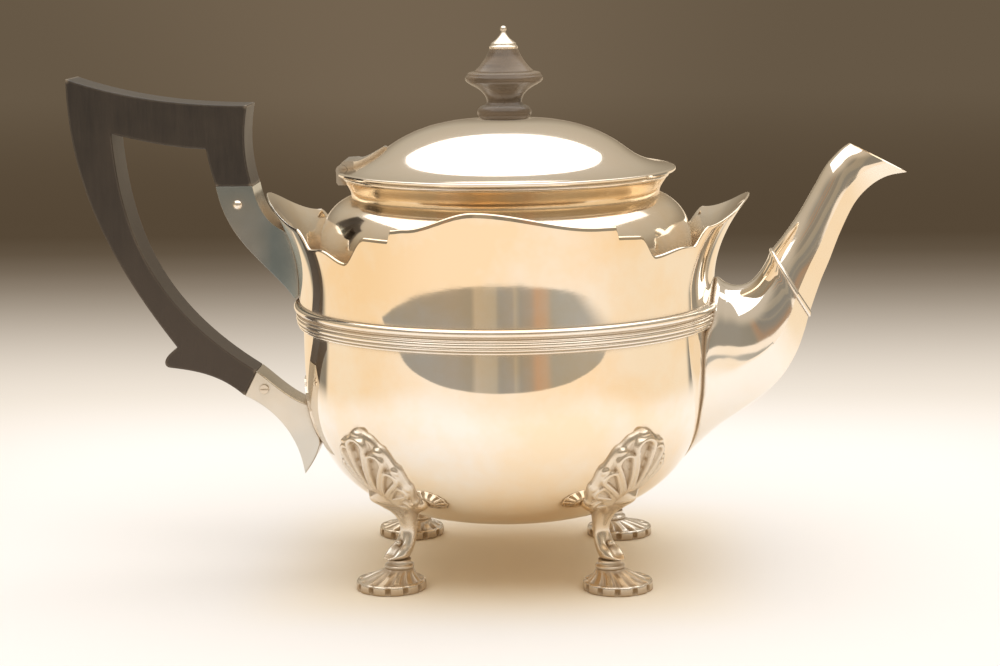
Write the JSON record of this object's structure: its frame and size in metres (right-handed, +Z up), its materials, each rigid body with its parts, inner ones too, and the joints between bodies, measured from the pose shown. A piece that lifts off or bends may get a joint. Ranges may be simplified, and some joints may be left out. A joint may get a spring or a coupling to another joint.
{
  "type": "teapot",
  "caption": "Round silver teapot with an upstanding shaped gallery, hinged domed lid, panelled spout, dark wood handle and finial, on shell-knee legs with scalloped feet.",
  "frame": {"origin": "on the bowl's vertical axis, in the plane of the four feet", "axes": "+X towards the spout, -X towards the handle, +Z up; +Y completes the right-handed frame"},
  "size_m": [0.2597, 0.1334, 0.1694],
  "materials": {
    "silver": "polished sterling silver, worn, lightly tarnished in the recesses",
    "ebony": "matt dark hardwood, worn"
  },
  "bodies": {
    "pot": {"bowl": "silver", "shoulder": "silver", "neck_rim": "silver", "girdle": "silver", "gallery": "silver", "spout_lower": "silver", "spout_upper": "silver", "spout_seam": "silver", "upper_socket": "silver", "lower_socket": "silver", "lower_socket_plate": "silver", "upper_rivet": "silver", "lower_screw": "silver", "hinge_body_leaf": "silver", "hinge_pin": "silver", "handle": "ebony", "leg_spout_right": "silver", "leg_spout_left": "silver", "leg_handle_right": "silver", "leg_handle_left": "silver", "foot_spout_right": "silver", "foot_spout_left": "silver", "foot_handle_right": "silver", "foot_handle_left": "silver"},
    "lid": {"hinge_lid_leaf": "silver", "lid_dome": "silver", "lid_bezel": "silver", "finial_tip": "silver", "finial_washer": "silver", "finial_nut": "silver", "finial": "ebony"}
  },
  "joints": [
    {"name": "lid_hinge", "type": "hinge", "parent": "pot", "child": "lid", "pos_m": [-0.0502, 0, 0.1257], "axis": [0, -1, 0], "range_deg": [0, 95]}
  ]
}
